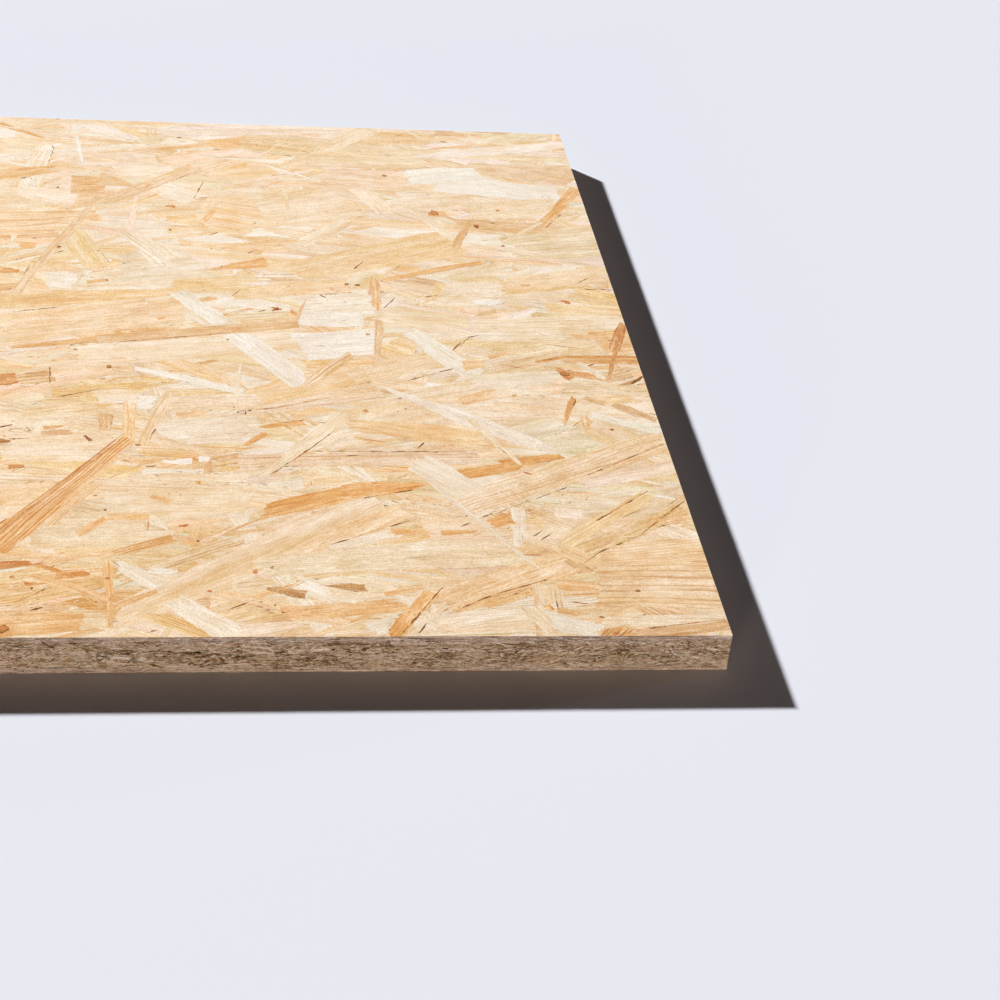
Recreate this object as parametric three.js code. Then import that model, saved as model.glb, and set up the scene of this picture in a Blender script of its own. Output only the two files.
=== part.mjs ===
// Oriented strand board panel: one flat rectangular board, pressed as a single
// piece and sawn to size on all four sides. Units are millimetres, +Z up.
// The origin is the middle of the underside, +X runs along the length, which
// is also the main direction of the face strands, and +Y across the width.
import * as THREE from 'three';

// Driving dimensions
const LENGTH = 1250;        // X, half of a 2500 mm sheet
const WIDTH = 500;          // Y, ripped strip
const THICKNESS = 18;       // Z, nominal board thickness
const ARRIS = 0.4;          // the saw leaves the long arrises slightly broken
const CORNER_RADIUS = 1.0;  // wear on the four upright corners
const CORNER_STEPS = 4;     // facets round each upright corner

// Outline of the board, drawn in from the sawn edges by the width of the arris,
// because the extrusion's bevel pushes it out again to the full size.
function boardOutline(length, width, radius) {
  const hx = length / 2;
  const hy = width / 2;
  const outline = new THREE.Shape();
  outline.moveTo(-hx + radius, -hy);
  outline.lineTo(hx - radius, -hy);
  outline.absarc(hx - radius, -hy + radius, radius, -Math.PI / 2, 0, false);
  outline.lineTo(hx, hy - radius);
  outline.absarc(hx - radius, hy - radius, radius, 0, Math.PI / 2, false);
  outline.lineTo(-hx + radius, hy);
  outline.absarc(-hx + radius, hy - radius, radius, Math.PI / 2, Math.PI, false);
  outline.lineTo(-hx, -hy + radius);
  outline.absarc(-hx + radius, -hy + radius, radius, Math.PI, 1.5 * Math.PI, false);
  return outline;
}

const panelGeometry = new THREE.ExtrudeGeometry(
  boardOutline(LENGTH - 2 * ARRIS, WIDTH - 2 * ARRIS, CORNER_RADIUS - ARRIS),
  {
    depth: THICKNESS - 2 * ARRIS,
    steps: 1,
    curveSegments: CORNER_STEPS,
    bevelEnabled: true,
    bevelThickness: ARRIS,
    bevelSize: ARRIS,
    bevelSegments: 1,
  },
);
// The bevel starts below the shape's plane, so the board is lifted onto z = 0.
panelGeometry.translate(0, 0, ARRIS);

// Pressed softwood strands: honey and straw coloured, matt.
const strandBoard = new THREE.MeshStandardMaterial({
  color: 0xd9b57c,
  roughness: 0.72,
  metalness: 0.0,
});

const panel = new THREE.Mesh(panelGeometry, strandBoard);
panel.name = 'osb_panel';

const object = new THREE.Group();
object.add(panel);

export default object;
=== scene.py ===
"""Oriented strand board panel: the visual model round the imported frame.

Every face strand, splinter, fibre and sawn strand end is a flake of its own,
stacked in the order it was laid, and the grain comes from one procedural wood
material that reads each flake's own grain direction and tone. Lengths are
millimetres until a mesh is made, and metres in Blender.
"""

import math

import bpy
import numpy as np
from mathutils import Matrix, Vector


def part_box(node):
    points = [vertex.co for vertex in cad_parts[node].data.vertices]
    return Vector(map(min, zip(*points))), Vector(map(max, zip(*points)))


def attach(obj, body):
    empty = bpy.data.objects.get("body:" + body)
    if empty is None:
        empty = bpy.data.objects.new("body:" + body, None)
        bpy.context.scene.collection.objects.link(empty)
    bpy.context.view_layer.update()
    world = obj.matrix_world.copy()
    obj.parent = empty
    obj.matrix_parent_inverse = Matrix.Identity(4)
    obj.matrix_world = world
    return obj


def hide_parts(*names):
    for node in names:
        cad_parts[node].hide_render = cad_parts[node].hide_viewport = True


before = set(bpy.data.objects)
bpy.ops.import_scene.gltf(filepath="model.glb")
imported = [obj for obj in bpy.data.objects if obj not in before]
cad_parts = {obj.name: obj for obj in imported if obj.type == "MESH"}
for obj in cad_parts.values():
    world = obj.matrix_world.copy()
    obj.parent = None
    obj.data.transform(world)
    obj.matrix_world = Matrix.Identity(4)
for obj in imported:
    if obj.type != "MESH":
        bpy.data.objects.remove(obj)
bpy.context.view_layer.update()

MM = 0.001
lo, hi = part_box("osb_panel")
X0, Y0, Z0 = (float(c) / MM for c in lo)
X1, Y1, Z1 = (float(c) / MM for c in hi)
THICK = Z1 - Z0

# ------------------------------------------------------------------ camera
# Fitted to the panel's edges and to its shadow, for the 1000 x 1000 picture.
FOCAL_PX = 2261.46
YAW, PITCH, ROLL = (math.radians(a) for a in (10.417, 32.978, 6.072))
# from the upper front right corner, which is at (X1, Y0, Z1)
CAM = np.array([X1 - 239.31, Y0 - 734.84, Z0 + 569.77])


def camera_axes():
    fwd = np.array(
        [
            math.sin(YAW) * math.cos(PITCH),
            math.cos(YAW) * math.cos(PITCH),
            -math.sin(PITCH),
        ]
    )
    right = np.array([math.cos(YAW), -math.sin(YAW), 0.0])
    up = np.cross(right, fwd)
    c, s = math.cos(ROLL), math.sin(ROLL)
    return c * right + s * up, c * up - s * right, fwd


RIGHT, UP, FWD = camera_axes()


def on_top(px, py, z=None):
    """The point of the top face seen at a pixel of the picture, in mm."""
    z = Z1 if z is None else z
    ray = FWD + RIGHT * (px - 500) / FOCAL_PX - UP * (py - 500) / FOCAL_PX
    return CAM + ray * (z - CAM[2]) / ray[2]


def make_camera():
    data = bpy.data.cameras.new("camera")
    data.sensor_width = 36.0
    data.lens = FOCAL_PX * 36.0 / 1000.0
    cam = bpy.data.objects.new("camera", data)
    bpy.context.scene.collection.objects.link(cam)
    m = Matrix.Identity(4)
    for i in range(3):
        m[i][0], m[i][1], m[i][2] = RIGHT[i], UP[i], -FWD[i]
        m[i][3] = CAM[i] * MM
    cam.matrix_world = m
    data.clip_start, data.clip_end = 0.01, 100.0
    bpy.context.scene.camera = cam


make_camera()

# ------------------------------------------------------------------ colours
EXPOSURE = 1.15  # light on the top face; colours are stated as they look in it


def lin(rgb, light=EXPOSURE):
    c = np.asarray(rgb, float) / 255.0
    c = np.where(c <= 0.04045, c / 12.92, ((c + 0.055) / 1.055) ** 2.4)
    return np.clip(c / light, 0.0, 0.95)


TONES = {
    "white": (249, 237, 219),
    "ivory": (248, 230, 207),
    "cream": (248, 226, 197),
    "pale": (246, 221, 189),
    "pink": (246, 218, 190),
    "olive": (241, 215, 180),
    "grey": (239, 218, 190),
    "buff": (247, 215, 177),
    "honey": (247, 212, 168),
    "golden": (247, 212, 163),
    "straw": (242, 205, 154),
    "tan": (233, 192, 146),
    "amber": (233, 186, 131),
    "fawn": (243, 198, 146),
    "rose": (246, 202, 158),
    "orange": (239, 185, 124),
    "rust": (226, 166, 104),
    "brown": (214, 156, 106),
    "bark": (208, 160, 108),
    "redbrown": (212, 144, 86),
    "russet": (166, 112, 78),
    "umber": (146, 98, 48),
    # gap: the darkest brown; it paints the shade in gaps and hollows, and some dark dust
    "gap": (126, 82, 36),
}

# ------------------------------------------------------------------ outlines


def rotate(p, ang):
    c, s = math.cos(ang), math.sin(ang)
    return np.stack([p[:, 0] * c - p[:, 1] * s, p[:, 0] * s + p[:, 1] * c], 1)


def strand_outline(length, w0, w1, rng, shape="blunt", rag=1.0, step=9.0):
    """A strand seen from above, counter-clockwise, its grain along u, w0 wide at
    its start and w1 at its end."""
    half_l = length / 2
    width = max(w0, w1)
    steps = int(np.clip(length / step, 2, 24))
    inset = half_l - min(0.22 * length, 9.0)  # the torn ends stay beyond this
    inner = np.linspace(-inset, inset, steps - 1) if steps > 2 else np.zeros(1)
    inner = inner + rng.uniform(-0.35, 0.35, steps - 1) * length / steps
    u = np.concatenate([[-half_l], np.sort(np.clip(inner, -inset, inset)), [half_l]])
    t = u / half_l
    half = (w0 + (w1 - w0) * (t + 1) / 2) / 2
    if shape == "blunt":
        half = half * (1 - rng.uniform(0, 0.12) * np.abs(t) ** 3)
    elif shape == "lens":
        half = half * np.clip(1 - np.abs(t) ** rng.uniform(1.8, 4.0), 0.12, 1)
    elif shape == "dart":  # runs out to a point at its end
        half = half * np.clip(1 - np.clip(t, 0, 1) ** rng.uniform(1.2, 2.2), 0.1, 1)
    wander = min(0.05 * width + 0.08, 0.6)
    bow = rng.normal(0, 0.006) * length * (1 - t**2) if length > 25 else 0.0
    sides = []
    for way in (-1, 1):
        w = np.cumsum(rng.normal(0, 1, len(u)))
        w = w - np.linspace(w[0], w[-1], len(w))
        w = wander * w / max(np.abs(w).max(), 1e-6) + rng.normal(0, 0.3 * wander, len(u))
        side = half + w
        if width > 4 and len(u) > 4:  # strips split off part of the way
            for _ in range(rng.integers(0, 3)):
                k = rng.integers(1, len(u) - 1)
                off = rng.uniform(0.02, 0.10) * width
                if rng.random() < 0.5:
                    side[k:] -= off
                else:
                    side[:k] -= off
        sides.append(way * np.maximum(side, 0.10) + bow)
    low, high = sides
    ends = []
    for k, out in ((-1, 1), (0, -1)):  # the end, then the start
        a, b = low[k], high[k]
        span = b - a
        clean = rng.random() < 0.4
        reach = (0.25 if clean else 1.0) * rag * min(2.4, 0.04 * length + 0.25)
        n = int(np.clip(round(span / rng.uniform(1.2, 3.0)), 1, 9))
        if clean:
            n = min(n, 3)
        slant = float(np.clip(rng.normal(0, 0.30), -0.2 * length / max(span, 0.1), 0.2 * length / max(span, 0.1)))
        cuts = np.concatenate([[a], np.sort(rng.uniform(a, b, n - 1)), [b]])
        eu, ev = [], []
        for j in range(n):
            m = cuts[j] + (cuts[j + 1] - cuts[j]) * rng.uniform(0.2, 0.8)
            tip = -rng.exponential(reach)
            eu.append(tip + slant * (m - (a + b) / 2))
            ev.append(m)
            if j < n - 1 and rng.random() < 0.7:
                eu.append(tip - rng.uniform(0.4, 1.6) * reach + slant * (cuts[j + 1] - (a + b) / 2))
                ev.append(cuts[j + 1])
        if span > 1.5 and rng.random() < 0.8:  # square corners
            eu = [eu[0] + rng.normal(0, 0.3 * reach)] + eu + [eu[-1] + rng.normal(0, 0.3 * reach)]
            ev = [a] + ev + [b]
        room = half_l - inset
        eu = np.clip(np.array(eu), -0.85 * room, 0.4 * room)
        ends.append((out * half_l + out * eu, np.array(ev)))
    (ru, rv), (lu, lv) = ends
    us = np.concatenate([u[1:-1], ru, u[-2:0:-1], lu[::-1]])
    vs = np.concatenate([low[1:-1], rv, high[-2:0:-1], lv[::-1]])
    return np.stack([us, vs], 1)


def fray(ring, rng, step, amount):
    """Breaks an outline up finely. Wood tears along its grain, so the ends are
    rougher than the sides, and now and then a fibre sticks out or is missing."""
    d = np.roll(ring, -1, 0) - ring
    ln = np.maximum(np.linalg.norm(d, axis=1), 1e-6)
    n = np.maximum(1, np.round(ln / step)).astype(int)
    idx = np.repeat(np.arange(len(ring)), n)
    part = (np.arange(n.sum()) - np.repeat(np.cumsum(n) - n, n)) / n[idx]
    p = ring[idx] + part[:, None] * d[idx]
    t = d[idx] / ln[idx][:, None]
    white = rng.normal(0, 1, len(p))
    slow = white + np.roll(white, 1) + np.roll(white, 2) + np.roll(white, 3)
    side = np.abs(t[:, 0]) > 0.75
    size = np.where(side, 0.10, 0.22) * amount
    move = (0.7 * white + 0.4 * slow) * size
    spike = (rng.random(len(p)) < 0.05) & side
    move = move + spike * rng.uniform(-0.8, 0.6, len(p)) * amount
    p = p + np.stack([t[:, 1], -t[:, 0]], 1) * move[:, None]
    p[:, 0] += np.where(side, 0.0, rng.normal(0, 0.30, len(p)) * amount)
    return p


def untangle(p):
    """Cuts off the small loops where an outline crosses itself."""
    for _ in range(12):
        n = len(p)
        if n < 4:
            return p
        d = np.roll(p, -1, 0) - p
        rx, ry = p[None, :, 0] - p[:, None, 0], p[None, :, 1] - p[:, None, 1]
        c = d[:, None, 0] * ry - d[:, None, 1] * rx
        across = c * np.roll(c, -1, 1) < 0
        i, j = np.nonzero(np.triu(across & across.T, 2))
        apart = np.minimum(j - i, n - (j - i))
        i, j, apart = i[apart > 1], j[apart > 1], apart[apart > 1]
        if not len(i):
            return p
        k = int(np.argmin(apart))
        a, b = int(i[k]), int(j[k])
        if b - a <= n - (b - a):
            p = np.concatenate([p[: a + 1], p[b + 1 :]])
        else:
            p = p[a + 1 : b + 1]
    return p[:0]


def clip_line(p, axis, limit, keep_below):
    """Sutherland-Hodgman against one line across an axis."""
    d = (limit - p[:, axis]) if keep_below else (p[:, axis] - limit)
    if (d >= 0).all():
        return p
    if (d <= 0).all():
        return p[:0]
    out = []
    n = len(p)
    for i in range(n):
        a, b, da, db = p[i], p[(i + 1) % n], d[i], d[(i + 1) % n]
        if da >= 0:
            out.append(a)
        if (da > 0 and db < 0) or (da < 0 and db > 0):
            q = a + (b - a) * (da / (da - db))
            q[axis] = limit
            out.append(q)
    return np.array(out) if len(out) >= 3 else p[:0]


def clip_box(p, box):
    for axis, limit, below in (
        (0, box[0], False),
        (0, box[1], True),
        (1, box[2], False),
        (1, box[3], True),
    ):
        if len(p):
            p = clip_line(p, axis, limit, below)
    if len(p) < 3:
        return p[:0]
    p = p[np.linalg.norm(p - np.roll(p, 1, 0), axis=1) > 0.02]
    return p if len(p) >= 3 else p[:0]


def area_of(p):
    x, y = p[:, 0], p[:, 1]
    return 0.5 * float((x * np.roll(y, -1) - np.roll(x, -1) * y).sum())


# ------------------------------------------------------------------ flakes


class Flakes:
    """Gathers flat flakes that lie in the plane of a face and makes one mesh of them."""

    def __init__(self, face):
        """face: (origin, s axis, t axis, outward normal)."""
        self.o, self.s, self.t, self.n = (np.asarray(a, float) for a in face)
        self.verts, self.grain, self.tone, self.heart, self.traits = [], [], [], [], []
        self.loops, self.counts, self.uv = [], [], []
        self.total = 0
        self.tris = 0

    def add(self, ring, ang, centre, depth, tone, slope, heart, traits, seed, uv):
        """ring: the outline in (s, t); ang: which way its grain runs; depth: how
        far it lies below the surface; slope: how its tone changes, per mm along
        and across the grain."""
        n = len(ring)
        if n < 3:
            return
        if area_of(ring) < 0:
            ring = ring[::-1]
        self.loops.append(self.total + np.arange(n))
        self.counts.append(n)
        self.verts.append((self.o + ring[:, :1] * self.s + ring[:, 1:] * self.t - depth * self.n) * MM)
        rel = rotate(ring - centre, -ang)
        self.grain.append(np.stack([rel[:, 0] + seed[0], rel[:, 1] + seed[1], np.full(n, seed[2])], 1))
        colour = np.ones((n, 4))
        colour[:, :3] = np.clip(tone + rel @ slope, 0.01, 0.95)
        self.tone.append(colour)
        self.heart.append(np.full(n, heart))
        self.traits.append(np.tile(traits, (n, 1)))
        self.uv.append(uv(ring))
        self.total += n
        self.tris += n - 2

    def make(self, name, material):
        me = bpy.data.meshes.new(name)
        v = np.concatenate(self.verts).astype(np.float32)
        loops = np.concatenate(self.loops).astype(np.int32)
        counts = np.array(self.counts, np.int32)
        me.vertices.add(len(v))
        me.vertices.foreach_set("co", v.ravel())
        me.loops.add(len(loops))
        me.loops.foreach_set("vertex_index", loops)
        me.polygons.add(len(counts))
        starts = np.concatenate([[0], np.cumsum(counts)[:-1]]).astype(np.int32)
        me.polygons.foreach_set("loop_start", starts)
        for label, kind, data, key in (
            ("grain", "FLOAT_VECTOR", self.grain, "vector"),
            ("tone", "FLOAT_COLOR", self.tone, "color"),
            ("traits", "FLOAT_VECTOR", self.traits, "vector"),
            ("heart", "FLOAT", self.heart, "value"),
        ):
            a = me.attributes.new(label, kind, "POINT")
            a.data.foreach_set(key, np.concatenate(data).astype(np.float32).ravel())
        layer = me.uv_layers.new(name="OFBake", do_init=False)
        layer.uv.foreach_set("vector", np.concatenate(self.uv).astype(np.float32).ravel())
        me.materials.append(material)
        me.update(calc_edges=True)
        me.shade_flat()
        ob = bpy.data.objects.new(name, me)
        bpy.context.scene.collection.objects.link(ob)
        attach(ob, "root")
        print("PIECE", name, "triangles", self.tris, flush=True)
        return ob


# ------------------------------------------------------------------ material


def nodes_of(name):
    m = bpy.data.materials.new(name)
    m.use_nodes = True
    nt = m.node_tree
    nt.nodes.clear()
    return m, nt


class Graph:
    def __init__(self, nt):
        self.nt = nt

    def new(self, kind, **props):
        n = self.nt.nodes.new(kind)
        for k, v in props.items():
            setattr(n, k, v)
        return n

    def link(self, a, b):
        self.nt.links.new(a, b)

    def put(self, sock, value):
        if isinstance(value, (int, float)):
            sock.default_value = value
        elif isinstance(value, (tuple, list)):
            sock.default_value = value
        else:
            self.link(value, sock)

    def math(self, op, a, b=0.0, c=0.0, clamp=False):
        n = self.new("ShaderNodeMath", operation=op, use_clamp=clamp)
        self.put(n.inputs[0], a)
        self.put(n.inputs[1], b)
        if op in ("MULTIPLY_ADD", "SMOOTH_MIN", "SMOOTH_MAX", "COMPARE"):
            self.put(n.inputs[2], c)
        return n.outputs[0]

    def combine(self, x, y, z):
        n = self.new("ShaderNodeCombineXYZ")
        for s, v in zip(n.inputs, (x, y, z)):
            self.put(s, v)
        return n.outputs[0]

    def noise(self, vec, scale=1.0, detail=2.0, rough=0.5):
        n = self.new("ShaderNodeTexNoise", noise_dimensions="3D")
        self.link(vec, n.inputs["Vector"])
        n.inputs["Scale"].default_value = scale
        n.inputs["Detail"].default_value = detail
        n.inputs["Roughness"].default_value = rough
        return n.outputs[0]

    def ramp(self, x, low, high):
        """0 below low, 1 above high, smooth between."""
        n = self.new("ShaderNodeMapRange", interpolation_type="SMOOTHSTEP")
        self.put(n.inputs["Value"], x)
        n.inputs["From Min"].default_value = low
        n.inputs["From Max"].default_value = high
        return n.outputs["Result"]


def grain_space(g):
    """The attributes every flake carries, and noise that follows its grain."""
    grain = g.new("ShaderNodeAttribute", attribute_name="grain")
    sep = g.new("ShaderNodeSeparateXYZ")
    g.link(grain.outputs["Vector"], sep.inputs[0])
    u, v, s = sep.outputs

    def along(fu, fv, detail=2.0, roughness=0.5, w=None):
        """Noise stretched along the grain; fu and fv in features per mm."""
        vec = g.combine(g.math("MULTIPLY", u, fu), g.math("MULTIPLY", v if w is None else w, fv), s)
        return g.noise(vec, 1.0, detail, roughness)

    # the grain wanders a little sideways along the strand
    sway = along(0.022, 0.03, 1.0)
    w = g.math("MULTIPLY_ADD", g.math("SUBTRACT", sway, 0.5), 3.2, v)
    tone = g.new("ShaderNodeAttribute", attribute_name="tone").outputs["Color"]
    heart = g.new("ShaderNodeAttribute", attribute_name="heart").outputs["Fac"]
    traits = g.new("ShaderNodeAttribute", attribute_name="traits")
    tr = g.new("ShaderNodeSeparateXYZ")
    g.link(traits.outputs["Vector"], tr.inputs[0])
    return (lambda fu, fv, detail=2.0, roughness=0.5: along(fu, fv, detail, roughness, w)), u, w, s, tone, heart, tr.outputs


def surface(g, colour, height, rough, bump, specular):
    p = g.new("ShaderNodeBsdfPrincipled")
    g.link(colour, p.inputs["Base Color"])
    g.put(p.inputs["Roughness"], rough)
    p.inputs["Specular IOR Level"].default_value = specular
    b = g.new("ShaderNodeBump")
    b.inputs["Strength"].default_value = 1.0
    b.inputs["Distance"].default_value = 0.00006 * bump
    g.link(height, b.inputs["Height"])
    g.link(b.outputs[0], p.inputs["Normal"])
    out = g.new("ShaderNodeOutputMaterial")
    g.link(p.outputs[0], out.inputs["Surface"])


def mixed(g, factor, a, b, blend="MIX"):
    n = g.new("ShaderNodeMix", data_type="RGBA", blend_type=blend)
    g.put(n.inputs["Factor"], factor)
    for sock, value in ((n.inputs["A"], a), (n.inputs["B"], b)):
        g.put(sock, value)
    return n.outputs["Result"]


def strand_material():
    m, nt = nodes_of("strand_wood")
    g = Graph(nt)
    along, u, v, s, tone, heart, (ring, freq, streak) = grain_space(g)

    medium = along(0.06, 0.80, 3.0, 0.6)
    fine = along(0.20, 2.4, 2.0, 0.6)
    mottle = along(0.11, 0.24, 3.0, 0.6)
    broad = along(0.012, 0.12, 2.0, 0.5)
    speck = along(1.1, 1.6, 2.0, 0.7)
    # latewood lines, thin and uneven
    warp = along(0.013, 0.07, 1.0)
    phase = g.math("MULTIPLY_ADD", v, freq, g.math("MULTIPLY", warp, 3.2))
    wave = g.math("SINE", g.math("MULTIPLY", phase, 2 * math.pi))
    lines = g.ramp(wave, 0.30, 1.0)
    lines = g.math(
        "MULTIPLY", lines, g.math("MAXIMUM", g.ramp(along(0.02, 0.3, 1.0), 0.30, 0.62), g.ramp(ring, 0.9, 1.5))
    )
    # hairlines: where a slow noise passes its middle value
    hair = g.math("ABSOLUTE", g.math("SUBTRACT", along(0.018, 0.42, 1.0), 0.5))
    hair = g.math("SUBTRACT", 1.0, g.ramp(hair, 0.004, 0.026))
    hair = g.math("MULTIPLY", hair, g.ramp(along(0.06, 0.2, 1.0), 0.45, 0.62))
    # short dark resin flecks
    fleck = g.ramp(along(0.22, 1.4, 0.0), 0.73, 0.82)
    # what strands share where they were pressed together
    where = g.new("ShaderNodeTexCoord").outputs["Object"]
    shared = g.noise(where, 40.0, 3.0, 0.6)

    # broad changes go by colour: paler or deeper wood
    gamma = g.math("MULTIPLY_ADD", g.math("SUBTRACT", medium, 0.5), 0.7, 1.0)
    for noise, amount in ((fine, 0.35), (mottle, 0.85), (broad, 0.85), (speck, 0.9), (shared, 0.9)):
        gamma = g.math("MULTIPLY_ADD", g.math("SUBTRACT", noise, 0.5), amount, gamma)
    gamma = g.math("MULTIPLY_ADD", g.math("MULTIPLY", lines, ring), 0.95, gamma)
    gamma = g.math("MULTIPLY_ADD", hair, 0.20, gamma)
    dark = g.ramp(medium, 0.60, 0.78)
    gamma = g.math("MULTIPLY_ADD", g.math("MULTIPLY", dark, streak), 0.6, gamma)
    gamma = g.math("MULTIPLY_ADD", fleck, 0.4, gamma)
    # fine ones go by shade alone: pores, torn fibres and dust
    shade = g.math("MULTIPLY_ADD", g.math("SUBTRACT", medium, 0.5), -0.14, 1.0)
    for noise, amount in ((fine, -0.24), (speck, -0.50)):
        shade = g.math("MULTIPLY_ADD", g.math("SUBTRACT", noise, 0.5), amount, shade)
    shade = g.math("MULTIPLY_ADD", g.math("MULTIPLY", lines, ring), -0.06, shade)
    shade = g.math("MULTIPLY_ADD", hair, -0.05, shade)
    shade = g.math("MULTIPLY_ADD", fleck, -0.08, shade)
    shade = g.math("MINIMUM", shade, 1.12)

    # honey-coloured heartwood in part of the width, and paler, drier patches
    part = g.new("ShaderNodeSeparateColor")
    g.link(tone, part.inputs[0])
    pale = g.ramp(part.outputs[2], 0.12, 0.34)  # dark wood has next to none of either
    light = g.math("MULTIPLY_ADD", g.ramp(part.outputs[0], 0.12, 0.45), 0.7, 0.3)
    gamma = g.math("MULTIPLY_ADD", g.math("SUBTRACT", gamma, 1.0), light, 1.0)
    gamma = g.math("MAXIMUM", gamma, 0.35)
    zone = g.math("MULTIPLY", g.ramp(along(0.012, 0.09, 3.0), 0.38, 0.64), heart)
    zone = g.math("MULTIPLY", zone, g.math("MULTIPLY_ADD", pale, 0.7, 0.3))
    col = mixed(g, zone, tone, (0.965, 0.855, 0.62, 1), "MULTIPLY")
    # faint olive and rosy stretches
    tinge = along(0.02, 0.11, 3.0, 0.6)
    col = mixed(g, g.math("MULTIPLY", g.ramp(tinge, 0.54, 0.74), 0.8), col, (0.955, 0.965, 0.87, 1), "MULTIPLY")
    col = mixed(g, g.math("MULTIPLY", g.ramp(tinge, 0.46, 0.26), 0.8), col, (1.0, 0.978, 0.985, 1), "MULTIPLY")
    dry = g.math("MULTIPLY", g.ramp(along(0.028, 0.26, 3.0, 0.6), 0.52, 0.76), 0.45)
    dry = g.math("MULTIPLY", dry, pale)
    col = mixed(g, dry, col, (*lin((250, 234, 212)), 1))
    out = g.new("ShaderNodeGamma")
    g.link(col, out.inputs["Color"])
    g.link(gamma, out.inputs["Gamma"])
    final = mixed(g, 1.0, out.outputs[0], shade, "MULTIPLY")

    rolling = g.noise(where, 55.0, 2.0, 0.5)
    height = g.math("MULTIPLY", medium, 0.30)
    for noise, amount in ((fine, 0.12), (speck, 0.30), (mottle, 0.5), (rolling, 1.2), (lines, 0.08)):
        height = g.math("MULTIPLY_ADD", noise, amount, height)
    rough = g.math("MULTIPLY_ADD", g.math("SUBTRACT", medium, 0.5), 0.2, 0.90)
    surface(g, final, height, rough, 1.0, 0.06)
    return m


def edge_material():
    """Sawn strand ends: small chips of many tones with dark specks among them."""
    m, nt = nodes_of("sawn_edge_wood")
    g = Graph(nt)
    along, u, v, s, tone, heart, (ring, freq, streak) = grain_space(g)

    def cells(fu, fv):
        n = g.new("ShaderNodeTexVoronoi", voronoi_dimensions="3D", feature="F1")
        vec = g.combine(
            g.math("MULTIPLY", u, fu), g.math("MULTIPLY", v, fv), g.math("MULTIPLY", s, 0.37)
        )
        bent = g.new("ShaderNodeVectorMath", operation="MULTIPLY_ADD")
        g.link(g.noise(vec, 1.7, 1.0), bent.inputs[0])
        bent.inputs[1].default_value = (1.1, 1.1, 1.1)
        g.link(vec, bent.inputs[2])
        g.link(bent.outputs[0], n.inputs["Vector"])
        n.inputs["Scale"].default_value = 1.0
        sp = g.new("ShaderNodeSeparateColor")
        g.link(n.outputs["Color"], sp.inputs[0])
        return sp.outputs

    r1, g1, _ = cells(0.42, 1.15)
    r2, g2, _ = cells(1.1, 2.1)
    fine = along(0.6, 3.0, 2.0, 0.6)
    speck = along(1.3, 1.7, 3.0, 0.75)
    broad = along(0.05, 0.20, 2.0, 0.5)

    gamma = g.math("MULTIPLY_ADD", g.math("SUBTRACT", r1, 0.5), 0.75, 1.0)
    for noise, amount in ((r2, 0.45), (fine, 0.8), (speck, 2.8), (broad, 0.9)):
        gamma = g.math("MULTIPLY_ADD", g.math("SUBTRACT", noise, 0.5), amount, gamma)
    gamma = g.math("MAXIMUM", gamma, 0.3)
    out = g.new("ShaderNodeGamma")
    g.link(tone, out.inputs["Color"])
    g.link(gamma, out.inputs["Gamma"])
    # dark olive and brown specks, thick in the core and rare near the faces: dark wood, and the voids between sawn
    # strands with their shade painted in
    where = g.new("ShaderNodeTexCoord").outputs["Object"]
    crowd = g.math("SUBTRACT", g.noise(where, 115.0, 2.0, 0.5), 0.5)
    spots = g.math("MULTIPLY_ADD", crowd, 0.42, along(0.30, 0.85, 3.0, 0.65))
    spots = g.math("MULTIPLY", g.ramp(spots, 0.555, 0.63), heart)
    which = g.ramp(g1, 0.35, 0.65)
    dark = mixed(g, which, (*lin((124, 90, 40)), 1), (*lin((92, 54, 32)), 1))
    col = mixed(g, spots, out.outputs[0], dark)

    height = g.math("MULTIPLY", r1, 0.9)
    for noise, amount in ((r2, 0.5), (fine, 0.5), (speck, 0.9), (spots, -2.0)):
        height = g.math("MULTIPLY_ADD", noise, amount, height)
    surface(g, col, height, 0.90, 2.0, 0.10)
    return m


wood = strand_material()
edge_wood = edge_material()

# ------------------------------------------------------------------ strands


class Strand:
    """One strand of a pressed face. ring: its outline; level: its place in the stack."""

    __slots__ = "c ang ring width tone slope heart traits seed level up".split()

    def __init__(self, c, ang, ring, width, tone, slope, heart, traits, seed, level=None, up=0):
        self.c, self.ang, self.ring, self.width = np.asarray(c, float), ang, ring, width
        self.tone, self.slope, self.heart, self.traits = tone, slope, heart, traits
        self.seed, self.level, self.up = seed, level, up


FLAT = np.zeros((2, 3))


MIDDLE = lin((246, 220, 185))


def jitter(tone, rng, amount=0.05, pull=0.0):
    """A tone with a little chance in it, drawn part of the way to the middle one."""
    c = lin(TONES[tone])
    c = c ** (1 - pull) * MIDDLE**pull
    k = rng.normal(0, amount)
    warm, olive = rng.normal(0, 0.9 * amount), rng.normal(0, 0.35 * amount)
    c = np.clip(c ** (1 + k) * np.exp([0.1 * warm - olive, -0.15 * warm, -warm - olive]), 0.01, 0.92)
    c[1] = min(c[1], 0.915 * c[0])  # never greenish
    c[2] = min(c[2], 0.87 * c[1])
    return c


LARGE_TONES = dict(
    white=4, ivory=13, cream=17, pale=17, pink=8, olive=7, grey=5, buff=12, honey=11, golden=6, tan=3, amber=0.7
)
MID_TONES = dict(
    white=7, ivory=13, cream=14, pale=14, pink=8, olive=6, grey=4, buff=11, honey=10, golden=7, tan=4,
    amber=2.5, orange=0.8, brown=0.3
)
SMALL_TONES = dict(
    white=13, ivory=12, cream=12, pale=11, pink=8, olive=5, buff=10, honey=9, golden=8, tan=7,
    amber=5, orange=3.5, brown=2, redbrown=0.5, umber=0.8
)


def random_traits(rng, tone):
    if rng.random() < 0.25 or tone in ("orange", "amber"):
        return (rng.uniform(0.25, 0.8), rng.uniform(0.22, 0.65), rng.uniform(0.2, 1.0))
    return (rng.uniform(0.0, 0.22), rng.uniform(0.2, 0.9), rng.uniform(0.0, 0.6))


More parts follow.
